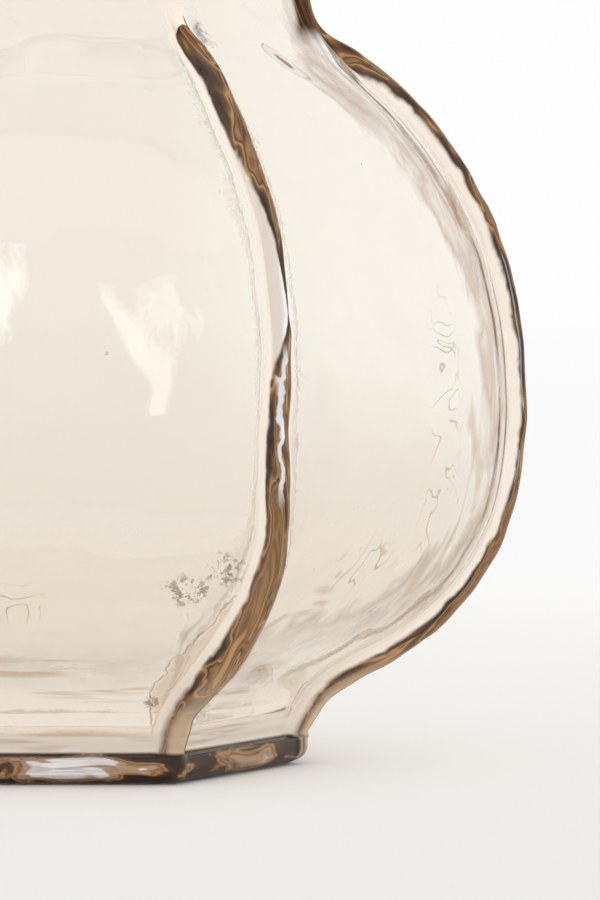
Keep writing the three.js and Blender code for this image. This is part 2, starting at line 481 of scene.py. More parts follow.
@dataclass
class GlassBody:
    """The vase's one body of glass: slab, bowl, ribs, neck and lip outside, and the hollow inside."""

    line: CornerLine = field(default_factory=CornerLine)
    plan: Plan = field(default_factory=Plan)
    level_spacing: float = 1.25
    inside_spacing: float = 1.8
    panel_columns: int = 34
    slab_ledge: float = 3.6
    slab_edge_inset: float = 6.0
    slab_edge_height: float = 5.0
    slab_top_edge: float = 1.3
    ledge_fillet: float = 1.6
    # Radius of a rib's crest on the slab's side and where it meets the ground
    foot_crest: float = 70.5
    foot_contact: float = 64.0
    wall: float = 3.8
    corner_fill: float = 0.2
    outside_rounding: float = 0.03
    inside_rounding: float = 0.035
    floor_height: float = 11.0
    floor_fillet: float = 7.0
    # The paler glass beside a rib: its width in millimetres, and the swelling above the slab
    halo: float = 1.0
    halo_swell: float = 6.5
    halo_height: float = 32.0
    halo_length: float = 16.0
    halo_right: float = 0.45
    bubble_count: int = 26
    bubble_seed: int = 31
    # Radii in millimetres, how much longer they are drawn, and the levels at either end that hold none
    bubble_radius: tuple[float, float] = (0.15, 0.5)
    bubble_drawn: tuple[float, float] = (1.0, 1.7)
    bubble_free: tuple[int, int] = (60, 20)
    bubble_clearance: float = 6.0
    # What a point that is on no rib has for its depth within the streaks, in millimetres
    far_from_streaks: float = -20.0
    # The front rib's strays from its corner by height, in millimetres
    front_strays: tuple[tuple[float, float], ...] = (
        (8, 0.9), (20, 0.3), (30, 0.5), (42, 0.3), (54, 0.6), (66, 0.8), (76, -0.1), (86, -1.0), (96, -1.6),
        (106, -0.9), (120, -0.1), (150, 0.4), (163, -0.4), (176, -0.8), (186, -0.6), (197, -1.6), (208, -2.4),
    )  # fmt: skip
    # For each rib, where its gather was thin and by how much its streaks narrow there, in millimetres, then
    # their spread above the tuck, at it and at the upper end, and the height where they end
    gathers: tuple[tuple[float, ...], ...] = (
        (96, 0.2, 0.86, 0.92, 1.35, 216),
        (142, 1.6, 1.0, 0.9, 1.1, 202),
        (118, 1.2, 1.1, 0.8, 1.2, 197),
        (88, 2.0, 0.95, 0.85, 1.5, 206),
        (150, 1.4, 1.05, 0.95, 1.2, 199),
        (126, 2.35, 1.14, 1.0, 1.3, 200),
    )
    name: str = "vase_glass"

    def ribs(self) -> list[Rib]:
        """Shape the ribs.

        Returns:
            The six ribs in order from +X, of which the last is the one in front.
        """
        front = len(self.gathers) - 1
        strays = [self.front_strays if index == front else () for index in range(front + 1)]
        return [Rib(index, strays[index], *gather) for index, gather in enumerate(self.gathers)]

    def level_rings(
        self, corner: np.ndarray, height: np.ndarray, out: np.ndarray, up: np.ndarray, rib: np.ndarray
    ) -> Rings:
        """Make outside levels whose panels follow the plan.

        Args:
            corner: corner radii in millimetres.
            height: heights in millimetres.
            out: outward part of the surface's direction.
            up: upward part of the surface's direction.
            rib: the most that a rib may add there.

        Returns:
            The levels.
        """
        roundness = self.plan.roundness(height, self.line)
        return Rings(corner, corner * mix(self.plan.flat_panel, 1.0, roundness), height, out, up, rib)

    def slab_rings(self) -> Rings:
        """Go from the middle of the underside round the slab's edges to the foot of the bowl.

        Returns:
            The levels.
        """
        foot, top, edge = self.line.foot_radius, self.line.foot_height, self.slab_top_edge
        corner = foot + self.slab_ledge
        flat = corner - self.slab_edge_inset
        # Radius, height, and the outward and upward parts of the direction
        rows = [(flat * share, 0.0, 0.0, -1.0) for share in (0.02, 0.25, 0.5, 0.75, 0.93)]
        for turn in np.linspace(0, math.pi / 2, 12):
            reach, rise = math.sin(turn), 1 - math.cos(turn)
            rows.append((flat + self.slab_edge_inset * reach, self.slab_edge_height * rise, reach, rise - 1))
        for share in (0.4, 0.8):
            rows.append((corner, mix(self.slab_edge_height, top - edge, share), 1.0, 0.0))
        for turn in np.linspace(0, math.pi / 2, 6):
            reach, rise = math.cos(turn), math.sin(turn)
            rows.append((corner - edge + edge * reach, top - edge + edge * rise, reach, rise))
        for share in (0.35, 0.7):
            rows.append((mix(corner - edge, foot + self.ledge_fillet, share), top, 0.0, 1.0))
        for turn in np.linspace(0, math.pi / 2, 6)[:-1]:
            out, up = math.sin(turn), math.cos(turn)
            rows.append((foot + self.ledge_fillet * (1 - out), top + self.ledge_fillet * (1 - up), out, up))
        corners, heights, outs, ups = (np.array(column) for column in zip(*rows))
        round_down = np.clip(1 - heights / self.slab_edge_height, 0, 1)
        crest = mix(self.foot_contact, self.foot_crest, np.sqrt(1 - round_down**2))
        crest = np.where(heights >= top - 0.01, foot + Rib(0).height, crest)
        rib = np.where(heights > 0, np.clip(crest - corners, 0, None), 0.0)
        return self.level_rings(corners, heights, outs, ups, rib)

    def wall_rings(self) -> Rings:
        """Go up the bowl's outside from just above the slab to the mouth.

        Returns:
            The levels.
        """
        foot = self.line.foot_height
        places, ways = self.line.levels(self.level_spacing)
        keep = places[:, 1] > foot + self.ledge_fillet
        places, ways = places[keep], ways[keep]
        up = ways[:, 1] * smooth_step(places[:, 1], foot, foot + 12)
        size = np.hypot(ways[:, 0], up)
        rib = np.full(len(places), np.inf)
        return self.level_rings(places[:, 0], places[:, 1], ways[:, 0] / size, up / size, rib)

    def inside_of(self, rings: Rings, ways: np.ndarray) -> Rings:
        """Set levels of the outside in by the wall, with more glass in the corners.

        Args:
            rings: levels of the outside.
            ways: the true outward directions of the corner line at those levels.

        Returns:
            Levels of the inside, whose directions point out of the glass.
        """
        out, up = ways[:, 0], ways[:, 1]
        corner = rings.corner - (self.wall + self.corner_fill) * out
        panel = rings.panel - self.wall * out
        return Rings(corner, panel, rings.height - self.wall * up, -out, -up, np.zeros_like(out))

    def lip_rings(self, outer: Rings, inner: Rings) -> Rings:
        """Round the mouth.

        Args:
            outer: levels of the outside, of which the last is where the lip starts.
            inner: levels of the inside, of which the first is where it ends.

        Returns:
            The levels between them.
        """
        turns = np.linspace(0, math.pi, 13)[1:-1]
        reach, rise = 0.5 * np.cos(turns), np.sin(turns)
        away = np.hypot(reach * 2, rise)
        corner, panel, height = (
            0.5 * (start[-1] + end[0]) + reach * (start[-1] - end[0])
            for start, end in zip(outer[:3], inner[:3])
        )
        lift = outer.out[-1] * self.wall / 2 * rise
        return Rings(corner, panel, height + lift, reach * 2 / away, rise / away, np.zeros_like(turns))

    def inside_rings(self) -> Rings:
        """Go down the hollow from the mouth to the middle of its floor.

        Returns:
            The levels.
        """
        places, ways = self.line.levels(self.inside_spacing)
        rings = self.level_rings(places[:, 0], places[:, 1], ways[:, 0], ways[:, 1], np.zeros(len(places)))
        inside = self.inside_of(rings, ways)
        keep = inside.height > self.floor_height + self.floor_fillet
        wall = Rings(*(column[keep][::-1] for column in inside))
        rows: list[tuple[float, float, float, float, float]] = []
        for turn in np.linspace(0, math.pi / 2, 9)[1:]:
            out, up = -math.cos(turn), math.sin(turn)
            inset = self.floor_fillet * (1 + out)
            height = self.floor_height + (wall.height[-1] - self.floor_height) * (1 - up)
            rows.append((wall.corner[-1] - inset, wall.panel[-1] - inset, height, out, up))
        rim_corner, rim_panel = rows[-1][:2]
        for share in (0.93, 0.8, 0.6, 0.4, 0.2, 0.02):
            rows.append((rim_corner * share, rim_panel * share, self.floor_height, 0.0, 1.0))
        columns = [np.array(column) for column in zip(*rows)]
        return Rings.joined([wall, Rings(*columns, np.zeros(len(rows)))])

    def columns(self, rings: Rings) -> tuple[np.ndarray, np.ndarray, np.ndarray, np.ndarray]:
        """Place the columns of points round each level, close together across the ribs.

        Args:
            rings: the levels.

        Returns:
            Angles in radians, the rise of the rib section as a share, the reach across the rib in millimetres
            and the number of the nearest rib, all by level and column.
        """
        left = [(-reach, rise) for reach, rise in RIB_SECTION[:0:-1]]
        reach, rise = (np.array(column) for column in zip(*left, *RIB_SECTION))
        levels = len(rings.height)
        size = np.maximum(rings.corner, 12.0)
        centres, halves = [], []
        for rib in self.ribs():
            centres.append(rib.index * self.plan.panel_angle + rib.sway_at(rings.height) / size)
            halves.append(np.minimum(rib.half_width_at(rings.height) / size, 0.09)[:, None])
        angles, shares, across, owners = [], [], [], []
        spread = np.linspace(0, 1, self.panel_columns + 2)[1:-1]
        for k in range(self.plan.sides):
            nxt = (k + 1) % self.plan.sides
            turn = 2 * math.pi if nxt == 0 else 0.0
            angles.append(centres[k][:, None] + halves[k] * reach)
            shares.append(np.tile(rise, (levels, 1)))
            across.append(halves[k] * reach * size[:, None])
            owners.append(np.full((levels, len(reach)), float(k)))
            # The panel up to the next rib
            start = centres[k][:, None] + halves[k] * reach[-1]
            width = centres[nxt][:, None] + turn + halves[nxt] * reach[0] - start
            angles.append(start + width * spread)
            shares.append(np.zeros((levels, len(spread))))
            after = halves[k] * reach[-1] + spread * width
            before = halves[nxt] * reach[0] - (1 - spread) * width
            across.append(np.where(spread < 0.5, after, before) * size[:, None])
            owners.append(np.tile(np.where(spread < 0.5, float(k), float(nxt)), (levels, 1)))
        return np.hstack(angles), np.hstack(shares), np.hstack(across), np.hstack(owners)

    def surface(self, rings: Rings, round_off: float) -> Skin:
        """Lay the points of some levels on the plan, before ribs and waves.

        Args:
            rings: the levels.
            round_off: how far the rounding of the plan's corners reaches, in radians.

        Returns:
            The skin.
        """
        angles, shares, across, owners = self.columns(rings)
        radius = mix(rings.panel[:, None], rings.corner[:, None], self.plan.swell(angles, round_off))
        cos, sin = np.cos(angles), np.sin(angles)
        out = rings.out[:, None]
        steps = np.hypot(np.diff(rings.corner), np.diff(rings.height))
        along = np.concatenate([[0.0], np.cumsum(steps)])
        height, up, along = (
            np.broadcast_to(column[:, None], cos.shape) for column in (rings.height, rings.up, along)
        )
        places = np.stack([radius * cos, radius * sin, height], axis=-1)
        ways = np.stack([out * cos, out * sin, up], axis=-1)
        return Skin(places, ways, shares, np.stack([across, along, owners], axis=-1))

    def ripple(self, places: np.ndarray) -> np.ndarray:
        """Give how far the hand-worked wall dips at some places, inside and outside together.

        Args:
            places: points on the outside in millimetres.

        Returns:
            Heights from -0.9 mm to 0.
        """
        slow = Waves(seed=11, length_mm=52, height_mm=0.16).at(places)
        quick = Waves(seed=12, length_mm=21, height_mm=0.085).at(places)
        cords = Waves(seed=13, length_mm=11, height_mm=0.02, stretch=(1.0, 1.0, 4.0)).at(places)
        return np.clip(slow + quick + cords, -0.45, 0.45) - 0.45

    def streak_edges(self, skin: Skin) -> tuple[np.ndarray, np.ndarray]:
        """Say how far each point lies within the streaks of its rib, and within the paler glass beside them.

        Args:
            skin: the outside.

        Returns:
            Two distances in millimetres for each point, less than 0 outside.
        """
        heights = skin.places[:, 0, 2]
        across, owner = skin.on_rib[..., 0], skin.on_rib[..., 2].astype(int)
        halves = np.stack([rib.streak_half_at(heights) for rib in self.ribs()], axis=1)
        half = np.take_along_axis(halves, owner, axis=1)
        halo = (self.halo + self.halo_swell * bump(heights, self.halo_height, self.halo_length))[:, None]
        halo = halo * np.where(across < 0, 1.0, self.halo_right)
        return half - np.abs(across), half + halo - np.abs(across)

    def outside(self) -> Skin:
        """Build the outside, with its ribs and the marks of the hand.

        Returns:
            The skin from the middle of the underside to the mouth.
        """
        rings = Rings.joined([self.slab_rings(), self.wall_rings()])
        skin = self.surface(rings, self.outside_rounding)
        lift = skin.rib * np.minimum(Rib(0).rise_at(rings.height), rings.rib)[:, None]
        knocks = Waves(seed=14, length_mm=13, height_mm=0.18).at(skin.places)
        calm = smooth_step(rings.height, 1.5, 5.0)[:, None]
        # The crests keep clear of the largest width, so only the panels dip freely
        held = 1 - 0.6 * skin.rib
        drop = self.ripple(skin.places) * calm * held + skin.rib * (np.clip(knocks, -0.25, 0.25) - 0.25)
        skin.rib, skin.halo = self.streak_edges(skin)
        # On the slab a rib stands out level, not up from the ledge
        level = skin.places * (1, 1, 0)
        level /= np.linalg.norm(level, axis=-1, keepdims=True)
        on_slab = rings.height[:, None, None] < self.line.foot_height + self.ledge_fillet + 0.1
        rib_ways = np.where(on_slab, level, skin.ways)
        skin.places = skin.places + rib_ways * lift[..., None] + skin.ways * drop[..., None]
        return skin

    def inside(self) -> Skin:
        """Build the lip and the hollow inside, with its own waves.

        Returns:
            The skin from the mouth to the middle of the hollow's floor.
        """
        hollow = self.inside_rings()
        rings = Rings.joined([self.lip_rings(self.wall_rings(), hollow), hollow])
        skin = self.surface(rings, self.inside_rounding)
        dip = self.ripple(skin.places - skin.ways * self.wall)
        slow = Waves(seed=21, length_mm=46, height_mm=0.05).at(skin.places)
        quick = Waves(seed=22, length_mm=14, height_mm=0.012).at(skin.places)
        # The lip dips with the wall outside, so the vase keeps its height
        lip = smooth_step(skin.places[..., 2], self.line.mouth_height - 2, self.line.mouth_height)
        wave = mix(slow + quick - dip, dip, lip)
        skin.places = skin.places + skin.ways * wave[..., None]
        skin.rib = skin.halo = np.full_like(skin.rib, self.far_from_streaks)
        return skin

    def bubbles(self, skin: Skin) -> tuple[np.ndarray, list[tuple[int, ...]]]:
        """Blow small bubbles in the middle of the wall, drawn out a little upwards.

        Args:
            skin: the outside.

        Returns:
            Points in millimetres and faces, whose directions point out of the glass, into the air.
        """
        draw = np.random.default_rng(self.bubble_seed)
        turns, rows = np.meshgrid(np.arange(10), np.arange(1, 6), indexing="ij")
        around, down = turns * math.pi / 5, rows * math.pi / 6
        ball = np.stack([np.cos(around) * np.sin(down), np.sin(around) * np.sin(down), np.cos(down)], axis=-1)
        ball = np.concatenate([ball.reshape(-1, 3), [[0, 0, 1], [0, 0, -1]]])
        faces: list[tuple[int, ...]] = []
        for turn in range(10):
            here, right = turn * 5, (turn + 1) % 10 * 5
            faces.append((50, right, here))
            faces.extend((here + row, right + row, right + row + 1, here + row + 1) for row in range(4))
            faces.append((here + 4, right + 4, 51))
        points, shells = [], []
        levels, columns = skin.rib.shape
        low_free, high_free = self.bubble_free
        while len(points) < self.bubble_count:
            level, column = draw.integers(low_free, levels - high_free), draw.integers(columns)
            size = draw.uniform(*self.bubble_radius)
            # A bubble that would lie in or near a rib's streaks is left out
            if skin.rib[level, column] > -self.bubble_clearance:
                continue
            middle = skin.places[level, column] - skin.ways[level, column] * self.wall * 0.5
            points.append(middle + ball * (size, size, size * draw.uniform(*self.bubble_drawn)))
            shells.extend(tuple(corner + (len(points) - 1) * len(ball) for corner in face) for face in faces)
        return np.concatenate(points), shells

    def build(self) -> bpy.types.Object:
        """Make the mesh of the whole body, with what the finish reads from its points.

        Returns:
            The object, in metres.
        """
        outside, inside = self.outside(), self.inside()
        grid = np.concatenate([outside.places, inside.places])
        levels, columns = grid.shape[:2]
        # Fans of triangles close the underside and the hollow's floor
        middles = [(0.0, 0.0, grid[level, :, 2].mean()) for level in (0, -1)]
        points = np.concatenate([grid.reshape(-1, 3), middles])
        level, column = np.meshgrid(np.arange(levels - 1), np.arange(columns), indexing="ij")
        here, right = level * columns + column, level * columns + (column + 1) % columns
        quads = np.stack([here, right, right + columns, here + columns], axis=-1).reshape(-1, 4)
        around = np.arange(columns)
        after, last = (around + 1) % columns, (levels - 1) * columns
        first_fan = np.stack([np.full(columns, len(points) - 2), after, around], axis=1)
        last_fan = np.stack([np.full(columns, len(points) - 1), last + around, last + after], axis=1)
        faces = quads.tolist() + first_fan.tolist() + last_fan.tolist()
        shell_points, shells = self.bubbles(outside)
        faces += [[corner + len(points) for corner in shell] for shell in shells]
        mesh = bpy.data.meshes.new(self.name)
        mesh.from_pydata((np.concatenate([points, shell_points]) * MM).tolist(), [], faces)
        mesh.shade_smooth()
        spare = len(shell_points) + len(middles)
        far, outer = np.full(spare, self.far_from_streaks), np.ones(outside.rib.size)
        parts = {
            "streak_edge": (outside.rib, inside.rib, far),
            "halo_edge": (outside.halo, inside.halo, far),
            "outer_face": (outer, np.zeros(inside.rib.size + spare)),
            "on_rib": (outside.on_rib, inside.on_rib, np.zeros(spare * 3)),
        }
        for name, stretches in parts.items():
            kind, key = ("FLOAT_VECTOR", "vector") if name == "on_rib" else ("FLOAT", "value")
            values = np.concatenate([stretch.reshape(-1) for stretch in stretches])
            mesh.attributes.new(name, kind, "POINT").data.foreach_set(key, values.astype(np.float32))
        mesh.update()
        body = bpy.data.objects.new(self.name, mesh)
        bpy.context.scene.collection.objects.link(body)
        log.info("%s: %d points, %d faces", self.name, len(mesh.vertices), len(mesh.polygons))
        return body


class MarkKind(Enum):
    """What the mould or the tool left on the glass."""

    CHILL = "chill"
    CONTOUR = "contour"
    DRAG = "drag"
    SEED = "seed"


@dataclass(frozen=True)
class Mark:
    """A patch of chilled or dragged glass: where it lies round the body, how high, and how far it reaches."""

    kind: MarkKind
    azimuth: float
    height: float
    reach_round: float
    reach_up: float

    def middle(self, body: GlassBody) -> tuple[float, float, float]:
        """Find the mark's middle.

        Args:
            body: the glass that it lies on.

        Returns:
            A point on the outside, in metres.
        """
        line, _ = body.line.levels(body.level_spacing)
        corner = float(np.interp(self.height, line[:, 1], line[:, 0]))
        turn = math.radians(self.azimuth)
        rings = body.level_rings(*(np.array([value]) for value in (corner, self.height, 1.0, 0.0, 0.0)))
        swell = body.plan.swell(np.array([turn]), body.outside_rounding)
        radius = float(mix(rings.panel, rings.corner, swell)[0])
        return (radius * math.cos(turn) * MM, radius * math.sin(turn) * MM, self.height * MM)


# The marks that show from the front, with their azimuth in degrees from +X and their sizes in millimetres
FRONT_MARKS = (
    Mark(MarkKind.CHILL, -65.2, 59.5, 8.0, 7.5),
    Mark(MarkKind.CHILL, -69.3, 54.0, 9.0, 7.5),
    Mark(MarkKind.CHILL, -66.8, 22.5, 3.4, 8.0),
    Mark(MarkKind.CONTOUR, -93.5, 50.0, 9.0, 11.0),
    Mark(MarkKind.CONTOUR, -24.0, 104.0, 12.0, 34.0),
    Mark(MarkKind.CONTOUR, -22.8, 75.0, 13.0, 24.0),
    Mark(MarkKind.CONTOUR, -38.0, 58.0, 20.0, 10.0),
    Mark(MarkKind.SEED, -37.7, 192.0, 3.7, 10.0),
    Mark(MarkKind.DRAG, -95.0, 33.0, 26.0, 5.0),
    Mark(MarkKind.DRAG, -78.0, 25.5, 22.0, 4.0),
    Mark(MarkKind.DRAG, -42.0, 27.0, 16.0, 12.0),
    Mark(MarkKind.DRAG, -46.0, 48.0, 9.0, 12.0),
    Mark(MarkKind.DRAG, -84.0, 11.5, 30.0, 4.0),
    Mark(MarkKind.DRAG, -42.0, 12.5, 22.0, 5.0),
)


def hidden_marks(seed: int = 41) -> list[Mark]:
    """Scatter marks of the same kinds over the four panels that do not face the front.

    Args:
        seed: start of the random draws.

    Returns:
        The marks, the same ones for the same seed.
    """
    draw = np.random.default_rng(seed)
    marks = []
    behind = (MarkKind.CONTOUR, MarkKind.DRAG)
    beside = (MarkKind.CHILL, MarkKind.CHILL, *behind)
    # The two panels behind show through the front ones, so they have no chill
    for panel, kinds in enumerate((behind, behind, beside, beside)):
        middle = 30.0 + 60.0 * panel
        for kind in kinds:
            is_drag = kind is MarkKind.DRAG
            low, high = (18.0, 34.0) if is_drag else (45.0, 150.0)
            azimuth, height = middle + draw.uniform(-17, 17), draw.uniform(low, high)
            wide = draw.uniform(16, 26) if is_drag else draw.uniform(5, 13)
            tall = draw.uniform(4, 9) * (2 if kind is MarkKind.CONTOUR else 1)
            marks.append(Mark(kind, azimuth, height, wide, tall))
    return marks


@dataclass(frozen=True)
class GlassPlace:
    """What the finish knows about a point of the glass, and how it adds its nodes.

    Heights and places are in metres; what is measured from a rib or from its streaks' edge is in millimetres.
    """

    add: Callable[..., bpy.types.Node]
    place: Source
    side: Source
    height: Source
    on_rib: Source
    across: Source
    rib_number: Source
    # How far the point lies from the middle of the nearest rib
    off_rib: Source
    streak_edge: Source
    halo_edge: Source
    outer: Source
    # 1 where light meets the glass for the first time, and the share of the streaks that it takes
    first: Source
    near: Source
    facing: Source
    neck: Source


@dataclass(frozen=True)
class RibPaint:
    """What is drawn on and beside a rib: the streaks' colour, partly painted shade, and shares from 0 to 1 of
    where each lies.
    """

    streaks: Source
    within: Source
    beside: Source
    line: Source
    # Painted highlights: a strip by the crest and a line where the rib was pinched
    painted_highlight: Source
    foot: Source


Span = tuple[float, float]


@dataclass(frozen=True)
class Spans:
    """From where to where each part of the finish fades in.

    Heights and sides are in metres, and what is measured off a rib's middle or inwards from an edge is in
    millimetres. Turns go from 0, where the glass faces the eye, to 1, where it is seen edge on.
    """

    neck_height: Span = (0.19, 0.2)
    # Plain glass is paler upwards, and palest at the right above
    pale_height: Span = (0.085, 0.18)
    palest_side: Span = (0.02, 0.075)
    palest_height: Span = (0.06, 0.13)
    # The glass beside a rib and its brown line, and the rib's streaks with their rim of painted shade and
    # clear foot
    beside_edge: Span = (-0.2, 1.8)
    line_off: Span = (0.45, 0.1)
    line_below: Span = (0.07, 0.045)
    streak_edge: Span = (-0.1, 0.3)
    rim_shade_edge: Span = (1.0, 0.1)
    foot_below: Span = (0.036, 0.012)
    foot_middle: Span = (0.3, 1.8)
    foot_turn: Span = (0.6, 0.8)
    # Painted highlights: a strip beside each crest but the first, and a line on the crest where the gather
    # was pinched
    highlight_strip_off: Span = (0.6, 0.25)
    highlight_strip_ribs: Span = (0.4, 0.6)
    highlight_strip_below: Span = (0.119, 0.112)
    highlight_strip_above: Span = (0.075, 0.083)
    pinch_highlight_off: Span = (1.5, 0.7)
    pinch_highlight_below: Span = (0.14, 0.132)
    # The rib's pale coat of painted light, and the ledge's
    bed_off: Span = (3.9, 2.9)
    bed_edge: Span = (-2.4, -1.2)
    bed_below: Span = (0.214, 0.205)
    bed_above: Span = (0.0004, 0.002)
    ledge_below: Span = (0.0165, 0.0122)
    ledge_above: Span = (0.0078, 0.0086)
    # The slab's side, and the clear foot of the first rib
    slab_below: Span = (0.0088, 0.0080)
    slab_above: Span = (0.0001, 0.0004)
    clear_rib: Span = (0.6, 0.4)
    clear_edge: Span = (-0.4, 0.6)
    # The wall seen edge on, outside and inside, and the soft band beside its edge, which all take painted
    # shade
    steep_turn: Span = (0.74, 0.80)
    steep_edge: Span = (-34.0, -26.0)
    steep_below: Span = (0.203, 0.196)
    steep_above: Span = (0.045, 0.065)
    inner_above: Span = (0.05, 0.075)
    soft_shade_edge: Span = (-2.6, -4.2)
    soft_above: Span = (0.03, 0.05)
    # Marks, in shares of their reach, then their noise patterns
    mark_reach: Span = (1.0, 0.35)
    chill_fill: Span = (0.635, 0.65)
    chill_rim: Span = (0.022, 0.006)
    contour_line: Span = (0.09, 0.02)
    drag_level: Span = (0.48, 0.64)


@dataclass(frozen=True)
class TeaGlass:
    """Soda-lime glass coloured like weak tea, blown into a mould and fire polished.

    Thin panels look cream, and the thick ribs and slab gather dark and golden streaks like the grain of
    wood, partly the thick glass's own tint and partly painted shade. The edges seen edge on get painted
    shade, and the ribs get painted highlights and a pale coat of painted light. Fire polish leaves a clear
    gloss, with a few marks where the glass was chilled or dragged.
    """

    body: GlassBody
    spans: Spans = Spans()
    ior: float = 1.51
    roughness: float = 0.012
    # Streaks of dense glass are a little rougher, and glossy on the body but not at the neck
    dense_roughness: float = 0.08
    dense_gloss: tuple[float, float] = (0.3, 0.0)
    # What a metre of the glass absorbs of red, green and blue
    absorbs: tuple[float, float, float] = (0.6, 1.1, 1.8)
    # What one surface lets through, as sRGB colours: low on the body, high up and at the right above
    plain_low: str = "FBF8F4"
    plain_high: str = "FCFAF7"
    plain_clear: str = "FEFDFA"
    # The streaks' colours: the thick glass's tint, with painted shade in the darkest of them
    streak_and_shade_charcoal: str = "3A2517"
    streak_and_shade_dark: str = "573C24"
    streak_brown: str = "7E5B3C"
    streak_tan: str = "A17B54"
    streak_gold: str = "C0955F"
    streak_foot: str = "DCC6A9"
    halo_tan: str = "EDDFCE"
    halo_line: str = "B99C7D"
    # A pale coat of painted light on a rib, straight on and through other glass
    bed_light: str = "FDF2E6"
    bed_light_deep: str = "FFFEFC"
    # The colour of the painted highlights on a rib's crest
    painted_highlight: str = "FBFAFB"
    # A pale coat of painted light on the slab's top and the hollow's floor
    ledge_light: str = "FFF4E8"
    # The colour of the band of painted shade where the wall inside is seen edge on
    inner_shade_edge: str = "CDBBAD"
    # The colour of the soft band of painted shade beside the outline
    soft_shade_edge: str = "C4A98F"
    slab_tan: str = "B89C80"
    # Clear glass of the slab, tinted bluish as a painted reflection
    slab_clear_and_reflection: str = "F1F0F5"
    chill_fill: str = "A8927A"
    chill_rim: str = "5E4A36"
    contour_tan: str = "D0B89E"
    drag_tan: str = "E3CFBC"
    seed_brown: str = "9A7A58"
    # How much of what lies behind it each hides: streaks on the body and at a rib's foot, painted edge shade
    # on the body and at the neck, and the rib's pale coat of painted light through other glass and straight
    # on
    streak_hides: tuple[float, float] = (0.62, 0.35)
    edge_shade_hides: tuple[float, float] = (0.35, 0.97)
    bed_hides: tuple[float, float] = (0.35, 0.8)
    ledge_hides: float = 0.9
    slab_hides: float = 0.6
    halo_hides: float = 0.3
    soft_shade_hides: float = 0.4
    # How much of what lies behind them the painted highlights hide
    painted_highlight_hides: float = 0.8
    # How much of the streaks light still takes when it comes to them through other glass
    deep_share: float = 0.1
    # Painted shade: how far the edge seen edge on darkens towards charcoal at the neck
    neck_shade_darkens: float = 0.4
    # What one surface lets through on the way to the floor, and the height in metres of the palest
    body_shade: str = "FEFDFC"
    foot_shade: str = "ECE6DE"
    slab_shade: str = "50483E"
    shade_height: float = 0.04

    def build(self) -> bpy.types.Material:
        """Make the material.

        Returns:
            The material, with its surface and its volume.
        """
        material = bpy.data.materials.new("tea_tinted_blown_glass")
        at = self.place_of(Nodes(material).add)
        tint, hides = self.tinted(at)
        relief = self.relief(at)
        squared = at.add(SCALED, tint, tint)
        looks = {"Roughness": self.roughness, "IOR": self.ior, "Normal": relief}
        clear = at.add("BsdfPrincipled", Base_Color=squared, Transmission_Weight=1.0, **looks)
        # Streaks of dense glass, and the painted shade, highlights and pale coats of painted light, which
        # light fills but hardly passes; at the neck they lie below the gloss
        gloss = at.add(LINEAR, at.neck, 0, 1, *self.dense_gloss)
        looks["Roughness"] = self.dense_roughness
        dense = at.add("BsdfPrincipled", Base_Color=tint, Specular_IOR_Level=gloss, **looks)
        surface = at.add("MixShader", hides, clear, dense)
        # Light on its way to the floor goes straight through, so the shadow is pale and warm
        path = at.add("LightPath").outputs
        lighting = at.add(LARGER, path["Is Shadow Ray"], path["Is Diffuse Ray"])
        above = at.add(LINEAR, at.height, 0, self.shade_height)
        shades = ((0.16, self.slab_shade), (0.27, self.foot_shade), (1.0, self.body_shade))
        through = at.add("BsdfTransparent", at.add("ValToRGB", above, stops=shades))
        both = at.add("MixShader", lighting, surface, through)
        density = max(self.absorbs)
        keeps = tuple(1 - share / density for share in self.absorbs)
        volume = at.add("VolumeAbsorption", Color=(*keeps, 1.0), Density=density)
        at.add("OutputMaterial", Surface=both, Volume=volume)
        return material

    def place_of(self, add: Callable[..., bpy.types.Node]) -> GlassPlace:
        """Gather what the finish needs to know about each point.

        Args:
            add: adds a node to the material.

        Returns:
            The sockets that say it.
        """
        place = add("TexCoord").outputs["Object"]
        side, _, height = add("SeparateXYZ", place).outputs
        names = ("on_rib", "streak_edge", "halo_edge", "outer_face")
        rib, streak, halo, face = (
            add(NodeKind("Attribute", {"attribute_name": name})).outputs for name in names
        )
        across, _, rib_number = add("SeparateXYZ", rib["Vector"]).outputs
        depth = add("LightPath").outputs["Transmission Depth"]
        first = add(LINEAR, depth, 0, 1, 1, 0)
        # Half way between two ribs the reach across changes sides, and there only the streaks' edge can tell
        far = add(TIMES_PLUS, streak["Fac"], -1.0, -3.0)
        return GlassPlace(
            add=add,
            place=place,
            side=side,
            height=height,
            on_rib=rib["Vector"],
            across=across,
            rib_number=rib_number,
            off_rib=add(LARGER, add(SIZE_OF, across), far),
            streak_edge=streak["Fac"],
            halo_edge=halo["Fac"],
            outer=face["Fac"],
            first=first,
            near=add(LINEAR, first, 0, 1, self.deep_share, 1),
            facing=add("LayerWeight", 0.5).outputs["Facing"],
            neck=add(SMOOTH, height, *self.spans.neck_height),
        )

    def tinted(self, at: GlassPlace) -> tuple[Source, Source]:
        """Tint the plain glass, its ribs, slab, turned-away edges and marks, with painted shade and
        highlights.

        Args:
            at: what is known about each point.

        Returns:
            What one surface lets through, and how much of what lies behind it its streaks and painted layers
            hide.
        """
        rib = self.ribbed(at)
        swirls, slab = self.slab(at)
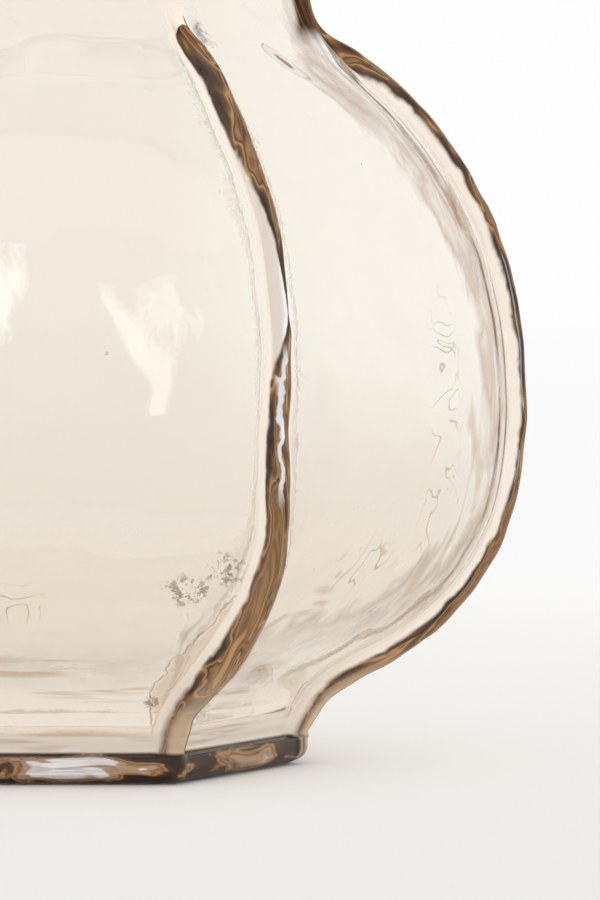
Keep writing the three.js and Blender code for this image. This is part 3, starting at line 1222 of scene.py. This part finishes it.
        # Painted shade on the edge seen edge on, turning charcoal at the neck
        neck_shade = at.add(TIMES, at.neck, self.neck_shade_darkens)
        edge = at.add(BLEND, neck_shade, rib.streaks, self.streak_and_shade_charcoal)
        bed_light_colour = at.add(BLEND, at.first, self.bed_light_deep, self.bed_light)
        streaks_hide, edge_shade_hides, bed_hides = (
            at.add(LINEAR, where, 0, 1, *ends)
            for where, ends in (
                (rib.foot, self.streak_hides),
                (at.neck, self.edge_shade_hides),
                (at.first, self.bed_hides),
            )
        )
        tint, hides = self.plain(at), 0.0
        for share, colour, most in (
            (rib.beside, self.halo_tan, self.halo_hides),
            (rib.line, self.halo_line, 0.0),
            # The rib's pale coat of painted light
            (self.bed_light_of(at), bed_light_colour, bed_hides),
            # The ledge's pale coat of painted light
            (self.ledge_light_of(at), self.ledge_light, self.ledge_hides),
            # The rib's streaks: the glass's tint with painted shade
            (rib.within, rib.streaks, streaks_hide),
            # Painted highlights on the ribs
            (rib.painted_highlight, self.painted_highlight, self.painted_highlight_hides),
            # The slab's swirls, with painted shade and a painted reflection
            (slab, swirls, self.slab_hides),
            # Painted shade in the soft band beside the outline
            (self.soft_shade_band(at), self.soft_shade_edge, self.soft_shade_hides),
            # Painted shade where the wall outside is seen edge on
            (self.painted_edge_shade(at), edge, edge_shade_hides),
            # Painted shade where the wall inside is seen edge on
            (self.inner_shade_band(at), self.inner_shade_edge, 0.0),
        ):
            tint = at.add(BLEND, share, tint, colour)
            hides = at.add(LARGER, hides, at.add(TIMES, share, most))
        return self.marked(at, tint), hides

    def plain(self, at: GlassPlace) -> Source:
        """Tint the plain glass: deeper low down, in slow clouds, and palest at the right above.

        Args:
            at: what is known about each point.

        Returns:
            What one surface of it lets through.
        """
        # Clouds are about 70 mm across
        clouds = at.add("TexNoise", at.place, Scale=1 / (70 * MM), Detail=1.0, Distortion=0.3)
        level = at.add(TIMES_PLUS, clouds, 0.06, at.height)
        high = at.add(SMOOTH, level, *self.spans.pale_height)
        body = at.add(BLEND, high, self.plain_low, self.plain_high)
        right = at.add(SMOOTH, at.side, *self.spans.palest_side)
        upper = at.add(SMOOTH, at.height, *self.spans.palest_height)
        return at.add(BLEND, at.add(TIMES, right, upper), body, self.plain_clear)

    def ribbed(self, at: GlassPlace) -> RibPaint:
        """Draw a rib's streaks, like the grain of wood, partly the glass's own tint and partly painted shade,
        and the paler glass beside it.

        Args:
            at: what is known about each point.

        Returns:
            The streaks' colour, and where they and what goes with them lie.
        """
        # Borders wander over about 7 mm, by 0.3 mm for the streaks and by over 1 mm for the glass beside them
        wander = at.add("TexNoise", at.place, Scale=1 / (7 * MM), Detail=2.0, Distortion=0.5)
        shift = at.add(LESS, wander, 0.5)
        halo = at.add(TIMES_PLUS, shift, 6.0, at.halo_edge)
        beside = at.add(SMOOTH, halo, *self.spans.beside_edge, 0, 0.9)
        beside = at.add(TIMES, beside, at.near)
        # A thin brown line runs round the glass beside the rib, above the slab
        line = at.add(SMOOTH, at.add(SIZE_OF, halo), *self.spans.line_off, 0, 0.7)
        low = at.add(SMOOTH, at.height, *self.spans.line_below)
        line = at.add(TIMES, line, low, at.first)
        # A streak is about 2.2 mm wide and 26 mm long, and each rib has its own
        grain = at.add(SCALED, at.on_rib, (1 / 2.2, 1 / 26, 7.3))
        broad = at.add("TexNoise", grain, Scale=1.0, Detail=2.0, Roughness=0.45, Distortion=0.7)
        inward = at.add(TIMES_PLUS, shift, 0.7, at.streak_edge)
        # The streaks darken towards their rim, as painted shade
        rim = at.add(SMOOTH, inward, *self.spans.rim_shade_edge, 0, 0.18)
        streaks = at.add(
            "ValToRGB",
            at.add(LESS, broad, rim),
            stops=(
                (0.28, self.streak_and_shade_charcoal),
                (0.36, self.streak_and_shade_dark),
                (0.42, self.streak_brown),
                (0.46, self.streak_gold),
                (0.49, self.streak_and_shade_dark),
                (0.55, self.streak_tan),
                (0.60, self.streak_brown),
                (0.68, self.streak_gold),
            ),
        )
        # At the foot the gather is clear within its brown borders, which are painted shade where it turns
        # edge on, and they blur
        foot = at.add(SMOOTH, at.height, *self.spans.foot_below)
        middle = at.add(SMOOTH, inward, *self.spans.foot_middle, 0, 0.85)
        outline_shade = at.add(SMOOTH, at.facing, *self.spans.foot_turn, 0, 0.85)
        for where, colour in ((middle, self.streak_foot), (outline_shade, self.streak_and_shade_dark)):
            streaks = at.add(BLEND, at.add(TIMES, where, foot), streaks, colour)
        sharp = at.add(LINEAR, foot, 0, 1, 1.0, 0.4)
        within = at.add(SMOOTH, at.add(TIMES, inward, sharp), *self.spans.streak_edge)
        return RibPaint(
            streaks=streaks,
            within=at.add(TIMES, within, at.near),
            beside=beside,
            line=line,
            painted_highlight=self.painted_highlights(at, shift, within),
            foot=foot,
        )

    def painted_highlights(self, at: GlassPlace, shift: Source, within: Source) -> Source:
        """Say where a rib gets painted highlights: a thin strip by its crest, and a line where it was
        pinched.

        Args:
            at: what is known about each point.
            shift: how far borders wander there.
            within: the share of streaks.

        Returns:
            1 in the painted highlights, 0 outside.
        """
        # The painted highlight strip wavers 1.1 mm beside the crest of each rib but the first, within 4 mm of
        # its middle
        strayed = at.add(TIMES_PLUS, shift, 3.0, at.across)
        off_highlight_strip = at.add(SIZE_OF, at.add(PLUS, strayed, 1.1))
        off_highlight_strip = at.add(LARGER, off_highlight_strip, at.add(LESS, at.off_rib, 4.0))
        highlight_strip = at.add(SMOOTH, off_highlight_strip, *self.spans.highlight_strip_off)
        later = at.add(LINEAR, at.rib_number, *self.spans.highlight_strip_ribs)
        below = at.add(SMOOTH, at.height, *self.spans.highlight_strip_below)
        above = at.add(SMOOTH, at.height, *self.spans.highlight_strip_above)
        highlight_strip = at.add(TIMES, highlight_strip, later, below, above)
        crest = at.add(SMOOTH, at.off_rib, *self.spans.pinch_highlight_off)
        pinch_highlight = at.add(LESS_TO_ZERO, crest, within)
        low = at.add(LINEAR, at.height, *self.spans.pinch_highlight_below)
        painted_highlight = at.add(LARGER, highlight_strip, at.add(TIMES, pinch_highlight, low))
        return at.add(TIMES, painted_highlight, at.first, at.outer)

    def bed_light_of(self, at: GlassPlace) -> Source:
        """Say where the glass of a rib lies, streaked or not, which gets a pale coat of painted light.

        Args:
            at: what is known about each point.

        Returns:
            1 on a rib, 0 outside.
        """
        crest = at.add(SMOOTH, at.off_rib, *self.spans.bed_off)
        flank = at.add(SMOOTH, at.streak_edge, *self.spans.bed_edge)
        below = at.add(SMOOTH, at.height, *self.spans.bed_below)
        above = at.add(SMOOTH, at.height, *self.spans.bed_above)
        return at.add(TIMES, at.add(LARGER, crest, flank), below, above, at.outer)

    def ledge_light_of(self, at: GlassPlace) -> Source:
        """Say where the slab's top and the hollow's floor lie, which get a pale coat of painted light too.

        Args:
            at: what is known about each point.

        Returns:
            1 at their heights, 0 outside.
        """
        below = at.add(SMOOTH, at.height, *self.spans.ledge_below)
        above = at.add(SMOOTH, at.height, *self.spans.ledge_above)
        return at.add(TIMES, below, above)

    def uneven(self, at: GlassPlace, wide: float, high: float, **looks: float) -> Source:
        """Make an uneven pattern that is drawn out one way.

        Args:
            at: what is known about each point.
            wide: its size round the body in millimetres.
            high: its size up the body in millimetres.
            looks: how detailed, rough and distorted the pattern is.

        Returns:
            The pattern, from 0 to 1.
        """
        scale = (1 / (wide * MM), 1 / (wide * MM), 1 / (high * MM))
        return at.add("TexNoise", at.add(SCALED, at.place, scale), Scale=1.0, **looks)

    def slab(self, at: GlassPlace) -> tuple[Source, Source]:
        """Draw the swirls on the slab's side, with painted shade by its edges and corners, and clear patches
        tinted bluish as a painted reflection.

        Args:
            at: what is known about each point.

        Returns:
            The swirls' colour, and where they lie.
        """
        # Swirls are about 24 mm long and 7 mm high
        value = self.uneven(at, 24, 7, Detail=3.0, Roughness=0.5, Distortion=1.2)
        # Painted shade: how much darker it is by its upper and lower edge and beside the ribs; it is also
        # darker at the right
        for where, low, high, dark in (
            (at.height, 0.0072, 0.0079, 0.22),
            (at.height, 0.0022, 0.0010, 0.1),
            (at.streak_edge, -18.0, -8.0, 0.16),
            (at.side, 0.02, 0.034, 0.11),
        ):
            value = at.add(LESS, value, at.add(SMOOTH, where, low, high, 0, dark))
        colour = at.add(
            "ValToRGB",
            value,
            stops=(
                (0.28, self.streak_and_shade_charcoal),
                (0.36, self.streak_and_shade_dark),
                (0.41, self.streak_gold),
                (0.435, self.streak_brown),
                (0.48, self.slab_tan),
                (0.53, self.slab_tan),
                (0.56, self.slab_clear_and_reflection),
            ),
        )
        under = at.add(LINEAR, at.height, *self.spans.slab_below)
        over = at.add(LINEAR, at.height, *self.spans.slab_above)
        side = at.add(TIMES, under, over, at.outer)
        # The clear foot of the first rib reaches down over the slab's side
        first_rib = at.add(LINEAR, at.rib_number, *self.spans.clear_rib, 0, 0.9)
        foot = at.add(SMOOTH, at.streak_edge, *self.spans.clear_edge)
        share = at.add(LESS_TO_ZERO, side, at.add(TIMES, foot, first_rib))
        # Only the side that light meets first shows its swirls
        return colour, at.add(TIMES, share, at.first)

    def painted_edge_shade(self, at: GlassPlace) -> Source:
        """Say where the wall outside is seen edge on and gets its long path's tint and painted shade, except
        right beside a rib.

        Args:
            at: what is known about each point.

        Returns:
            1 on the edge, 0 outside.
        """
        turned = at.add(TIMES_PLUS, at.neck, 0.12, at.facing)
        edge_on = at.add(SMOOTH, turned, *self.spans.steep_turn)
        beside = at.add(SMOOTH, at.streak_edge, *self.spans.steep_edge)
        below = at.add(SMOOTH, at.height, *self.spans.steep_below)
        apart = at.add(LESS_TO_ZERO, edge_on, at.add(TIMES, beside, below))
        wall = at.add(SMOOTH, at.height, *self.spans.steep_above)
        return at.add(TIMES, apart, at.add(TIMES, wall, at.outer))

    def inner_shade_band(self, at: GlassPlace) -> Source:
        """Say where the wall inside is seen edge on, which draws a soft band of painted shade within the
        outline.

        Args:
            at: what is known about each point.

        Returns:
            1 in the band, 0 outside.
        """
        # The band wavers over about 9 mm round the body and 26 mm up
        uneven = self.uneven(at, 9, 26, Detail=2.0, Roughness=0.5, Distortion=0.8)
        turned = at.add(TIMES_PLUS, uneven, 0.16, at.facing)
        band = at.add("ValToRGB", turned, stops=((0.72, 0), (0.83, 1)))
        wall = at.add(SMOOTH, at.height, *self.spans.inner_above)
        return at.add(TIMES, band, at.add(LESS_TO_ZERO, wall, at.outer))

    def soft_shade_band(self, at: GlassPlace) -> Source:
        """Say where the wall outside turns away beside its edge, which shows as a soft uneven band of painted
        shade.

        Args:
            at: what is known about each point.

        Returns:
            Up to 1 in the band, 0 outside.
        """
        # The band wavers over about 12 mm round the body and 34 mm up
        uneven = self.uneven(at, 12, 34, Detail=3.0, Roughness=0.55, Distortion=0.8)
        turned = at.add(TIMES_PLUS, uneven, 0.2, at.facing)
        stops = ((0.75, 0), (0.80, 0.8), (0.84, 0.3), (0.88, 1), (0.93, 0))
        band = at.add("ValToRGB", turned, stops=stops)
        off = at.add(SMOOTH, at.streak_edge, *self.spans.soft_shade_edge)
        wall = at.add(SMOOTH, at.height, *self.spans.soft_above)
        return at.add(TIMES, band, off, wall, at.outer, at.first)

    def reach_of(self, at: GlassPlace, kind: MarkKind) -> Source:
        """Mask the patches that marks of one kind cover, where light meets them first.

        Args:
            at: what is known about each point.
            kind: which marks.

        Returns:
            1 in the middle of a mark, 0 outside.
        """
        # In shares of a mark's reach, which start well outside every mark
        nearest: Any = 9.0
        for mark in (mark for mark in (*FRONT_MARKS, *hidden_marks()) if mark.kind is kind):
            off = at.add(WAY_FROM, at.place, mark.middle(self.body))
            reach = (mark.reach_round * MM, mark.reach_round * MM, mark.reach_up * MM)
            scaled = at.add(SCALED_DOWN, off, reach)
            nearest = at.add(SMALLER, nearest, at.add(LENGTH, scaled))
        inside = at.add(SMOOTH, nearest, *self.spans.mark_reach)
        return at.add(TIMES, inside, at.first)

    def seeds(self, at: GlassPlace, under: Source) -> Source:
        """Draw the drawn-out seeds: lenses of glass with a brown core, within a thin brown ring.

        Args:
            at: what is known about each point.
            under: what the unmarked surface lets through.

        Returns:
            What the surface lets through with its seeds.
        """
        tint = under
        for mark in (mark for mark in FRONT_MARKS if mark.kind is MarkKind.SEED):
            turn = math.radians(mark.azimuth)
            # A seed is drawn out downwards and round the body
            long_way = Vector((-math.sin(turn) * 0.6, math.cos(turn) * 0.6, -0.78)).normalized()
            wide_way = long_way.cross(Vector((math.cos(turn), math.sin(turn), 0.5))).normalized()
            off = at.add(WAY_FROM, at.place, mark.middle(self.body))
            along = at.add(DOT, off, long_way / (mark.reach_up * MM))
            over = at.add(DOT, off, wide_way / (mark.reach_round * MM))
            far = at.add(LENGTH, at.add("CombineXYZ", along, over))
            # Its ring wavers over about 4 mm
            uneven = at.add("TexNoise", at.place, Scale=1 / (4 * MM), Detail=2.0)
            far = at.add(TIMES_PLUS, uneven, 0.5, far)
            stops = ((0.48, 1), (0.60, 0.12), (0.88, 0.12), (0.95, 0.6), (1.0, 0))
            rings = at.add("ValToRGB", far, stops=stops)
            tint = at.add(BLEND, at.add(TIMES, rings, at.first), tint, self.seed_brown)
        return tint

    def marked(self, at: GlassPlace, under: Source) -> Source:
        """Draw the chill marks, the contour lines of dragged glass, the drag streaks and the seeds.

        Args:
            at: what is known about each point.
            under: what the unmarked surface lets through.

        Returns:
            What the marked surface lets through.
        """
        # Flakes of chill are 0.5 to 3 mm across, with dark rims
        flake = {"Detail": 5.0, "Roughness": 0.8, "Distortion": 0.3}
        flakes = at.add("TexNoise", at.place, Scale=1 / (2.6 * MM), **flake)
        chilled = self.reach_of(at, MarkKind.CHILL)
        chill = at.add(TIMES_PLUS, chilled, 0.1, flakes)
        filled = at.add(SMOOTH, chill, *self.spans.chill_fill, 0, 0.8)
        off_rim = at.add(SIZE_OF, at.add(LESS, chill, 0.625))
        rim = at.add(SMOOTH, off_rim, *self.spans.chill_rim, 0, 0.95)
        # Contour lines lie 2 to 5 mm apart
        folds = at.add("TexNoise", at.place, Scale=1 / (15 * MM), Detail=1.5, Distortion=0.9)
        saw = at.add(PAST_WHOLE, at.add(TIMES, folds, 6.0))
        off_line = at.add(SIZE_OF, at.add(LESS, saw, 0.5))
        line = at.add(SMOOTH, off_line, *self.spans.contour_line, 0, 0.8)
        # Drag streaks lie level, about 30 mm long and 2 mm high
        level = self.uneven(at, 30, 2, Detail=2.0, Distortion=0.4)
        drags = at.add(SMOOTH, level, *self.spans.drag_level)
        tint = self.seeds(at, under)
        for pattern, where, colour in (
            (filled, chilled, self.chill_fill),
            (rim, chilled, self.chill_rim),
            (line, self.reach_of(at, MarkKind.CONTOUR), self.contour_tan),
            (drags, self.reach_of(at, MarkKind.DRAG), self.drag_tan),
        ):
            tint = at.add(BLEND, at.add(TIMES, pattern, where), tint, colour)
        return tint

    def relief(self, at: GlassPlace) -> Source:
        """Roughen the gloss a little, as the mould and the tools leave it.

        Args:
            at: what is known about each point.

        Returns:
            The direction of the roughened surface.
        """
        # Ripples of about 6 mm, a few hundredths of a millimetre high
        ripples = at.add("TexNoise", at.place, Scale=1 / (6 * MM), Detail=2.0, Distortion=0.4)
        return at.add("Bump", Strength=1.0, Distance=0.04 * MM, Height=ripples)


@dataclass(frozen=True)
class Window:
    """A window of soft light that only reflections show.

    Azimuths are degrees to the right of the photograph's view direction, seen from the vase, and rises are
    degrees above its belly. Width and height are in metres. White paper in this light has a brightness of 1.
    """

    name: str
    azimuth: float
    rise: float
    width: float
    height: float
    brightness: float


@dataclass(frozen=True)
class Studio:
    """A plain white studio: a pale floor that runs out into white, even light, a lamp and soft windows."""

    floor_colour: str = "E2E1DE"
    white: str = "FFFFFF"
    floor_corners: int = 96
    floor_radius: float = 9.0
    pale_from: float = 0.5
    pale_to: float = 0.95
    floor_gap: float = 0.0002
    # How bright the far floor and the backdrop are to the eye, where 1 is white
    far_floor: float = 0.945
    farthest_floor: float = 0.975
    backdrop: float = 0.985
    lamp_distance: float = 2.6
    # A broad lamp behind the vase at the right: the way to it, its width in metres and its brightness
    lamp_way: tuple[float, float, float] = (0.5, 0.65, 0.75)
    lamp_width: float = 1.6
    lamp_brightness: float = 4.0
    belly: tuple[float, float, float] = (0.0, 0.0, 0.1)
    windows: tuple[Window, ...] = (
        Window("window_right", 11.5, 2.0, 0.22, 1.6, 3.2),
        Window("window_left", -10.5, 20.0, 0.22, 1.2, 3.8),
        Window("window_side", 60.0, 0.0, 0.45, 0.8, 9.0),
        Window("window_back_left", -128.0, 8.0, 0.4, 1.4, 4.0),
    )

    def floor(self) -> None:
        """Lay the floor, which fades to white away from the vase."""
        turns, radius = np.linspace(0, 2 * math.pi, self.floor_corners, endpoint=False), self.floor_radius
        points = [(radius * math.cos(turn), radius * math.sin(turn), -self.floor_gap) for turn in turns]
        mesh = bpy.data.meshes.new("studio_floor")
        mesh.from_pydata(points, [], [list(range(self.floor_corners))])
        mesh.update()
        mesh.materials.append(self.paper())
        plane = bpy.data.objects.new("studio_floor", mesh)
        bpy.context.scene.collection.objects.link(plane)

    def paper(self) -> bpy.types.Material:
        """Make the floor's matt white paper, which is plain white to the eye far from the vase.

        Returns:
            The material.
        """
        material = bpy.data.materials.new("matt_white_paper")
        add = Nodes(material).add
        reach = add(LENGTH, add("NewGeometry").outputs["Position"])
        fade = add(SMOOTH, reach, self.pale_from, self.pale_to)
        path = add("LightPath").outputs
        rays = (path[f"Is {kind} Ray"] for kind in ("Camera", "Transmission", "Glossy"))
        share = add(TIMES, fade, add(LARGER, *rays))
        paper = add("BsdfDiffuse", Color=self.floor_colour, Roughness=0.5)
        ends = (self.pale_to, self.floor_radius, self.far_floor, self.farthest_floor)
        white = add("Emission", Color=self.white, Strength=add(LINEAR, reach, *ends))
        add("OutputMaterial", Surface=add("MixShader", share, paper, white))
        return material

    def sky(self) -> None:
        """Surround the vase with even white light."""
        world = bpy.data.worlds.new("studio_light")
        add = Nodes(world).add
        path = add("LightPath").outputs
        seen = add(LARGER, path["Is Camera Ray"], path["Is Transmission Ray"])
        level = add(LINEAR, seen, 0, 1, 1, self.backdrop)
        add("OutputWorld", Surface=add("Background", Color=self.white, Strength=level))
        bpy.context.scene.world = world

    def hang(
        self, name: str, place: Vector, way: Vector, size: Sequence[float], radiance: float, unseen: str
    ) -> None:
        """Hang a lamp that faces back along the way to it.

        Args:
            name: the lamp's name.
            place: where it hangs, in metres.
            way: the way to it.
            size: the width of a round lamp, or the width and height of a square one, in metres.
            radiance: how bright its face is.
            unseen: what the lamp does not reach besides the camera and what is seen through glass.
        """
        data = bpy.data.lights.new(name, "AREA")
        data.shape = "DISK" if len(size) == 1 else "RECTANGLE"
        data.size = size[0]
        area = math.pi * (data.size / 2) ** 2
        if len(size) == 2:
            data.size_y = size[1]
            area = data.size * data.size_y
        data.energy = radiance * math.pi * area
        lamp = bpy.data.objects.new(name, data)
        lamp.location = place
        lamp.rotation_euler = way.to_track_quat("Z", "Y").to_euler()
        for ray in ("camera", "transmission", unseen):
            setattr(lamp, f"visible_{ray}", False)
        bpy.context.scene.collection.objects.link(lamp)

    def light(self) -> None:
        """Hang the broad lamp and the windows round the vase."""
        # The lamp's light on the floor turns the soft shadow to the front left
        way = Vector(self.lamp_way).normalized()
        place = way * self.lamp_distance
        self.hang("broad_lamp", place, way, [self.lamp_width], self.lamp_brightness, "glossy")
        for window in self.windows:
            turn, lift = math.radians(window.azimuth), math.radians(window.rise)
            way = Vector((math.sin(turn) * math.cos(lift), -math.cos(turn) * math.cos(lift), math.sin(lift)))
            # Nested panes give the window soft edges
            for pane, share in enumerate((1.25, 1.0, 0.75)):
                place = Vector(self.belly) + way * (self.lamp_distance + 0.01 * pane)
                size = (window.width * share, window.height * (0.5 + 0.5 * share))
                self.hang(f"{window.name}_{pane}", place, way, size, window.brightness / 3, "diffuse")

    def build(self) -> None:
        """Set up the floor, the light all round, the lamp and the windows."""
        self.floor()
        self.sky()
        self.light()


@dataclass(frozen=True)
class ViewPoint:
    """The photograph's view: a long lens close to level, at the height of the vase's belly."""

    # Where the lens stands, in metres, found by matching the ribs, outline and base line of the photograph
    side: float = 0.0668
    distance: float = 1.386
    height: float = 0.1392
    pitch_degrees: float = 2.17
    lens: float = 201.0
    sensor_width: float = 36.0
    sees_from: float = 0.05
    sees_to: float = 60.0

    def build(self) -> None:
        """Make the camera and use it for the scene."""
        data = bpy.data.cameras.new("photograph_view")
        data.lens, data.sensor_width = self.lens, self.sensor_width
        data.clip_start, data.clip_end = self.sees_from, self.sees_to
        camera = bpy.data.objects.new("photograph_view", data)
        camera.location = (self.side, -self.distance, self.height)
        camera.rotation_euler = (math.radians(90 - self.pitch_degrees), 0.0, 0.0)
        bpy.context.scene.collection.objects.link(camera)
        bpy.context.scene.camera = camera


def main() -> None:
    """Build the studio, the camera and the vase."""
    logging.basicConfig(level=logging.INFO, format="%(name)s: %(message)s")
    scene = bpy.context.scene
    scene.view_settings.view_transform = "Standard"
    # Light turns many times inside thick glass, and would come out black if it were cut off early
    scene.cycles.max_bounces = 24
    scene.cycles.glossy_bounces = 16
    scene.cycles.transmission_bounces = 20
    Studio().build()
    ViewPoint().build()
    glass = GlassBody()
    body = glass.build()
    body.data.materials.append(TeaGlass(glass).build())
    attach(body, "root")
    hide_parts(*frame["nodes"])
    log.info("glass body stands for %s", ", ".join(frame["nodes"]))


if __name__ == "__main__":
    main()
